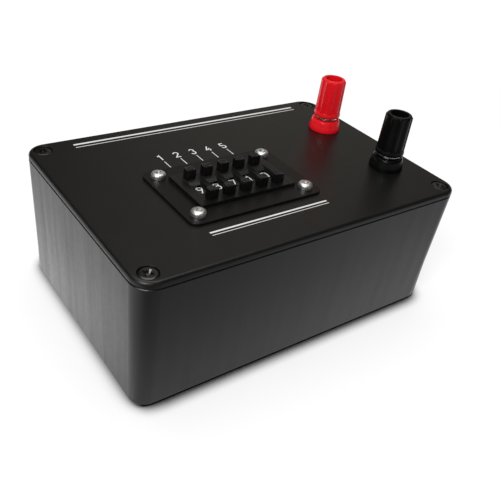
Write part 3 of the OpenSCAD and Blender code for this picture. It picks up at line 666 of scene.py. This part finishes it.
def headRows(radius, height, rim, power):
    # upright rim with rounded lower edge, then a flattened dome
    under = screwBody["under"]
    rows = [(0.0, radius - under, 0), (under, radius, 0), (rim, radius, 0)]
    for k in range(1, screwBody["domeRows"]):
        a = math.pi / 2 * k / screwBody["domeRows"]
        z = rim + (height - rim) * math.sin(a) ** (2 / power)
        rows.append((z, radius * math.cos(a) ** (2 / power), 0))
    rows.append((height, screwBody["domeTip"], 0))
    return rows


# how far the tool stands above the head and its point below the arms; ribTaper is the ribs' size at the
# bottom as a share of that at the top, ribDepth their share of the arms' depth, ribTurn is in degrees
driveTool = {"above": 0.4, "point": 0.35, "ribTaper": 0.7, "ribDepth": 0.6, "ribTurn": 45}
# reach of the arms at the top and bottom of the recess, their half widths, and the fine ribs between them
panDrive = {"long": 1.75, "short": 0.95, "wide": 0.48, "narrow": 0.34, "ribLong": 1.2, "ribWide": 0.13}
lidDrive = {"long": 2.3, "short": 1.25, "wide": 0.56, "narrow": 0.40, "ribLong": 1.6, "ribWide": 0.15}


def crossCutter(long, short, wide, narrow, top, bottom, turn):
    # four-armed tapered tool that ends in a point, with three corners to an arm
    points, faces = [], []
    ring = 12
    for reach, half, z in ((long, wide, top + driveTool["above"]), (short, narrow, bottom)):
        for arm in range(4):
            angle = math.radians(turn + 90 * arm)
            out = Vector((math.cos(angle), math.sin(angle)))
            side = Vector((-out.y, out.x))
            for spot in (out * reach - side * half, out * reach + side * half, out * half + side * half):
                points.append((spot.x, spot.y, z))
    points.append((0, 0, bottom - driveTool["point"]))
    for k in range(ring):
        n = (k + 1) % ring
        faces.append((k, n, ring + n, ring + k))
        faces.append((ring + k, ring + n, 2 * ring))
    faces.append(tuple(range(ring)))
    return meshFrom("cutter", points, faces)


def driveCutters(drive, top, depth):
    # cross drive with the four fine ribs between its arms
    arms = crossCutter(drive["long"], drive["short"], drive["wide"], drive["narrow"], top, top - depth, 0)
    long, wide, taper = drive["ribLong"], drive["ribWide"], driveTool["ribTaper"]
    bottom = top - depth * driveTool["ribDepth"]
    ribs = crossCutter(long, long * taper, wide, wide * taper, top, bottom, driveTool["ribTurn"])
    return [arms, ribs]


def screwMesh(name, screw, length, drive):
    # z is 0 under the head
    radius = screw["radius"]
    rows = [(-length, radius * screwThread["tipShare"], 0)]
    rows += threadRows(-length + screwThread["tip"], -screwThread["neck"], radius)
    rows += [(-screwBody["gap"], radius, 0)] + headRows(*screw["head"])
    return cutWith(turned(name, rows), driveCutters(drive, screw["head"][1], screw["depth"]))


def setScrews(name, node, mesh, screw, seat, slot):
    # one piece of four screws in the node's corners; seat is the height under the heads
    low, high, middle = boxOf(node)
    reachX = (high.x - low.x) / 2 - screw["seat"]
    reachY = (high.y - low.y) / 2 - screw["seat"]
    parts = []
    for (sx, sy), turn in zip(((-1, -1), (1, -1), (1, 1), (-1, 1)), screw["turns"]):
        place = Vector((middle.x + sx * reachX, middle.y + sy * reachY, seat)) * mm
        parts.append((mesh, Matrix.Translation(place) @ Matrix.Rotation(math.radians(turn), 4, "Z")))
    piece = addPiece(name, joinMeshes(name, parts), slot, smooth=30)
    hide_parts(node)


# head: radius, height, rim height and how square the dome is; seat: radius of the CAD head;
# turns: how far each of the four is turned, in degrees
panScrew = {"head": (2.85, 2.3, 1.05, 2.8), "seat": 2.7, "radius": 1.5, "depth": 1.25,
            "turns": (20, 64, 12, 75)}
lidScrew = {"head": (3.4, 1.4, 0.8, 3.6), "seat": 3.1, "radius": 1.5, "length": 10, "depth": 1.0,
            "turns": (40, 15, 62, 28)}


def makeBezelScrews():
    seat = boxOf("bezel_plate")[1].z
    mesh = screwMesh("pan_screw", panScrew, seat - boxOf("bezel_screws")[0].z, panDrive)
    setScrews("pan_screws", "bezel_screws", mesh, panScrew, seat, "zinc_screw")


def makeLidScrews():
    seat = boxOf("lid_screws")[0].z + lidScrew["length"]
    mesh = screwMesh("lid_screw", lidScrew, lidScrew["length"], lidDrive)
    setScrews("cover_screws", "lid_screws", mesh, lidScrew, seat, "black_screw")


makeBezelScrews()
makeLidScrews()
print("screws made")


# Bezel plate with rounded edges, its switch opening and screw holes

# flange and cap are the end caps' widths below and above the plate, halfOpen is half the opening's depth;
# points nearer than weld are one, and faces whose normal rises by more than flat are shaded flat
bezelPlate = {"corner": 3.5, "hole": 1.65, "edge": 0.16, "slack": 0.15, "flange": 2.75, "cap": 1.9,
              "halfOpen": 11, "weld": 0.001, "flat": 0.99}


def roundedLoop(x, y, halfX, halfY, radius, steps=8):
    points = []
    for sx, sy, start in ((1, 1, 0), (-1, 1, 90), (-1, -1, 180), (1, -1, 270)):
        for k in range(steps + 1):
            a = math.radians(start + 90 * k / steps)
            points.append((x + sx * (halfX - radius) + radius * math.cos(a),
                           y + sy * (halfY - radius) + radius * math.sin(a)))
    return points


def circleLoop(x, y, radius, steps=32):
    angles = [2 * math.pi * k / steps for k in range(steps)]
    return [(x + radius * math.cos(a), y + radius * math.sin(a)) for a in angles]


def plateFrom(name, loops, low, high, edge):
    # flat plate with holes: a filled outline that is thickened and bevelled
    data = bpy.data.curves.new(name, "CURVE")
    data.dimensions = "2D"
    data.fill_mode = "BOTH"
    data.extrude = ((high - low) / 2 - edge) * mm
    data.bevel_depth = edge * mm
    data.bevel_resolution = 1
    data.offset = -edge * mm
    for loop in loops:
        spline = data.splines.new("POLY")
        spline.points.add(len(loop) - 1)
        for point, (x, y) in zip(spline.points, loop):
            point.co = (x * mm, y * mm, 0, 1)
        spline.use_cyclic_u = True
    outline = bpy.data.objects.new(name, data)
    bpy.context.scene.collection.objects.link(outline)
    mesh = shapeOf(outline)
    bpy.data.objects.remove(outline)
    mesh.transform(Matrix.Translation((0, 0, (low + high) / 2 * mm)))
    turnFacesOut(mesh, bezelPlate["weld"] * mm)
    return mesh


def makeBezelPlate():
    low, high, middle = boxOf("bezel_plate")
    screwLow, screwHigh = boxOf("bezel_screws")[:2]
    bankWidth = boxOf("end_cap_right")[1].x - boxOf("end_cap_left")[0].x
    openX = bankWidth / 2 - bezelPlate["flange"] + bezelPlate["cap"] + bezelPlate["slack"]
    openY = bezelPlate["halfOpen"] + bezelPlate["slack"]
    halfX, halfY = (high.x - low.x) / 2, (high.y - low.y) / 2
    loops = [roundedLoop(middle.x, middle.y, halfX, halfY, bezelPlate["corner"])]
    corners = ((1, 1), (-1, 1), (-1, -1), (1, -1))
    loops.append([(middle.x + sx * openX, middle.y + sy * openY) for sx, sy in corners])
    seat = panScrew["seat"]
    for x in (screwLow.x + seat, screwHigh.x - seat):
        for y in (screwLow.y + seat, screwHigh.y - seat):
            loops.append(circleLoop(x, y, bezelPlate["hole"]))
    mesh = plateFrom("bezel_plate_shape", loops, low.z, high.z, bezelPlate["edge"])
    piece = addPiece("plate", mesh, "bezel_paint", smooth=50)
    for face in mesh.polygons:
        face.use_smooth = abs(face.normal.z) < bezelPlate["flat"]
    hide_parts("bezel_plate")


makeBezelPlate()
print("bezel plate made")


# Strokes: ribbons of even width that become digits and rules


def arc(x, y, radius, start, end, steps=10):
    angles = [math.radians(start + (end - start) * k / steps) for k in range(steps + 1)]
    return [(x + radius * math.cos(a), y + radius * math.sin(a)) for a in angles]


def divided(line, step):
    # the same line with points no further apart than step
    points = [line[0]]
    for (x0, y0), (x1, y1) in zip(line, line[1:]):
        parts = max(1, math.ceil(math.hypot(x1 - x0, y1 - y0) / step))
        for k in range(1, parts + 1):
            points.append((x0 + (x1 - x0) * k / parts, y0 + (y1 - y0) * k / parts))
    return points


def ribbon(line, width, place, high, low, closed=False):
    # place turns (u, v, height) into a point; gives points and faces of a thin solid
    count = len(line)
    points, faces = [], []
    for k, (u, v) in enumerate(line):
        before = line[(k - 1) % count] if closed or k else (u, v)
        after = line[(k + 1) % count] if closed or k < count - 1 else (u, v)
        first = Vector((u - before[0], v - before[1]))
        second = Vector((after[0] - u, after[1] - v))
        first = first.normalized() if first.length else second.normalized()
        second = second.normalized() if second.length else first
        along = (first + second).normalized()
        side = Vector((-along.y, along.x))
        # wider at a bend, so that the ribbon keeps its width, but no more than twice as wide
        reach = width / 2 / max(0.5, side.dot(Vector((-first.y, first.x))))
        for height in (high, low):
            for s in (1, -1):
                points.append(place(u + side.x * reach * s, v + side.y * reach * s, height))
    for k in range(count if closed else count - 1):
        a, b = 4 * k, 4 * ((k + 1) % count)
        faces += [(a, b, b + 1, a + 1), (a + 2, a + 3, b + 3, b + 2)]
        faces += [(a, a + 2, b + 2, b), (a + 1, b + 1, b + 3, a + 3)]
    if not closed:
        end = 4 * (count - 1)
        faces += [(0, 1, 3, 2), (end, end + 2, end + 3, end + 1)]
    return points, faces


def ribbons(name, strokes, width, place, high, low, step=0.4):
    # strokes are (line, closed) pairs
    points, faces = [], []
    for line, closed in strokes:
        path = divided(line + line[:1], step)[:-1] if closed else divided(line, step)
        more, sides = ribbon(path, width, place, high, low, closed)
        start = len(points)
        points += more
        faces += [tuple(start + v for v in side) for side in sides]
    return meshFrom(name, points, faces)


# half width and half height of a digit of size 1 along the middle of its stroke
digitShape = {"halfWidth": 0.235, "halfHeight": 0.44}


def digitStrokes(digit):
    a, b = digitShape["halfWidth"], digitShape["halfHeight"]
    ring = arc(0, b - a, a, 0, 345, 22)
    tail = [(a * 0.93, b - a * 1.4), (-a * 0.25, -b)]
    neck = [(a * 0.85, b), (-a * 0.75, b), (-a * 0.9, b * 0.12)]
    shapes = {
        0: [(arc(0, b - a, a, 0, 180) + arc(0, a - b, a, 180, 360)[:-1] + [(a, a - b)], True)],
        1: [([(-a * 0.75, b * 0.58), (a * 0.2, b), (a * 0.2, -b)], False)],
        2: [(arc(0, b - a, a, 170, -25) + [(-a, -b), (a * 1.05, -b)], False)],
        3: [(arc(0, b - a * 0.9, a * 0.9, 160, -85), False), (arc(0, a - b, a, 85, -165), False)],
        4: [([(a * 0.45, b), (-a, -b * 0.42), (a * 1.15, -b * 0.42)], False),
            ([(a * 0.5, b * 0.2), (a * 0.5, -b)], False)],
        5: [(neck + arc(0, a * 1.05 - b, a * 1.05, 125, -160), False)],
        6: [([(-x, -y) for x, y in ring], True), ([(-x, -y) for x, y in tail], False)],
        7: [([(-a, b), (a, b), (-a * 0.3, -b)], False)],
        8: [(arc(0, b - a * 0.88, a * 0.88, 0, 345, 20), True), (arc(0, a - b, a, 0, 345, 22), True)],
        9: [(ring, True), (tail, False)],
    }
    return shapes[digit]


def scaled(strokes, size, x=0.0, y=0.0):
    return [([(x + u * size, y + v * size) for u, v in line], closed) for line, closed in strokes]


# Digits printed round the wheels

# across is their middle, from the left side of the switch case, and step the turn between two, in degrees
wheelDigits = {"shown": (9, 8, 7, 1, 0), "size": 4.7, "width": 0.46, "thick": 0.03, "sunk": 0.06,
               "across": 4.3, "step": 36}


def makeWheelDigits(k):
    low, high, middle = boxOf(f"digit_wheel_{k + 1}")
    radius = (high.z - low.z) / 2
    across = boxOf(f"switch_case_{k + 1}")[0].x + wheelDigits["across"]
    name = f"wheel_digits_{k + 1}"
    parts = []
    for digit in range(10):
        turn = math.radians((digit - wheelDigits["shown"][k]) * wheelDigits["step"])

        def onDrum(u, v, height):
            angle = turn + v / radius
            out = radius + height
            return across + u, middle.y + out * math.sin(angle), middle.z + out * math.cos(angle)

        strokes = scaled(digitStrokes(digit), wheelDigits["size"])
        mesh = ribbons("digit", strokes, wheelDigits["width"], onDrum,
                       wheelDigits["thick"], -wheelDigits["sunk"])
        parts.append((mesh, Matrix.Identity(4)))
    addPiece(name, joinMeshes(name, parts), "print_ink", f"wheel_{k + 1}")


for switch in range(5):
    makeWheelDigits(switch)
print("digits on the wheels")


# Raised marks on the push buttons: a sign in a border, in the hollow of the finger rest

# across as on the wheels; off is the distance from the middle of the row
buttonMark = {"across": 4.04, "off": 7.9, "long": 1.5, "width": 0.34, "border": (1.62, 1.2),
              "borderWidth": 0.24, "proud": 0.14, "sunk": 0.15, "dish": 0.2, "dishRadius": 4}


def makeButtonMark(kind, k):
    top = boxOf(f"{kind}_button_{k}")[1].z
    x = boxOf(f"switch_case_{k}")[0].x + buttonMark["across"]
    y = boxOf("bank_rods")[2].y + (buttonMark["off"] if kind == "minus" else -buttonMark["off"])
    half = buttonMark["long"] / 2
    strokes = [([(x - half, y), (x + half, y)], False)]
    if kind == "plus":
        strokes.append(([(x, y - half), (x, y + half)], False))
    a, b = buttonMark["border"]
    corners = [(x - a, y - b), (x + a, y - b), (x + a, y + b), (x - a, y + b)]

    def onButton(u, v, height):
        hollow = math.sqrt(buttonMark["dishRadius"] ** 2 - (v - y) ** 2) - buttonMark["dishRadius"]
        return u, v, top - buttonMark["dish"] - hollow + height

    parts = []
    for lines, width in ((strokes, buttonMark["width"]), ([(corners, True)], buttonMark["borderWidth"])):
        mesh = ribbons("mark", lines, width, onButton, buttonMark["proud"], -buttonMark["sunk"])
        parts.append((mesh, Matrix.Identity(4)))
    name = f"{kind}_mark_{k}"
    addPiece(name, joinMeshes(name, parts), "mark_plastic", f"{kind}_{k}")


for switch in range(1, 6):
    makeButtonMark("minus", switch)
    makeButtonMark("plus", switch)
print("marks on the buttons")


# Print on the lid: double rules, and a leader line and a number behind each switch

# thick is how far it stands above the lid, sunk how far it goes in; no piece of a line is longer than step
lidPrint = {
    "thick": 0.03,
    "sunk": 0.02,
    "step": 30,
    "headRule": {"x": (-56, 58.6), "y": (43.9, 41.5), "width": (1.1, 0.4)},
    "frontRule": {"x": (-39.5, 14.0), "y": (-33.6, -35.2), "width": (0.8, 0.3)},
    "leader": {"y": (12.4, 17.6), "width": 0.35},
    "number": {"y": 20.9, "size": 4.4, "width": 0.55},
}


def makeLidPrint():
    top = boxOf("lid")[1].z
    parts = []

    def onLid(u, v, height):
        return u, v, top + height

    def addPrint(strokes, width):
        mesh = ribbons("print", strokes, width, onLid, lidPrint["thick"], -lidPrint["sunk"], lidPrint["step"])
        parts.append((mesh, Matrix.Identity(4)))

    for rule in (lidPrint["headRule"], lidPrint["frontRule"]):
        left, right = rule["x"]
        for y, width in zip(rule["y"], rule["width"]):
            addPrint([([(left, y), (right, y)], False)], width)
    leader, number = lidPrint["leader"], lidPrint["number"]
    for k in range(1, 6):
        x = boxOf(f"switch_case_{k}")[2].x
        addPrint([([(x, y) for y in leader["y"]], False)], leader["width"])
        addPrint(scaled(digitStrokes(k), number["size"], x, number["y"]), number["width"])
    addPiece("lid_print", joinMeshes("lid_print", parts), "print_ink")


makeLidPrint()
print("print on the lid")
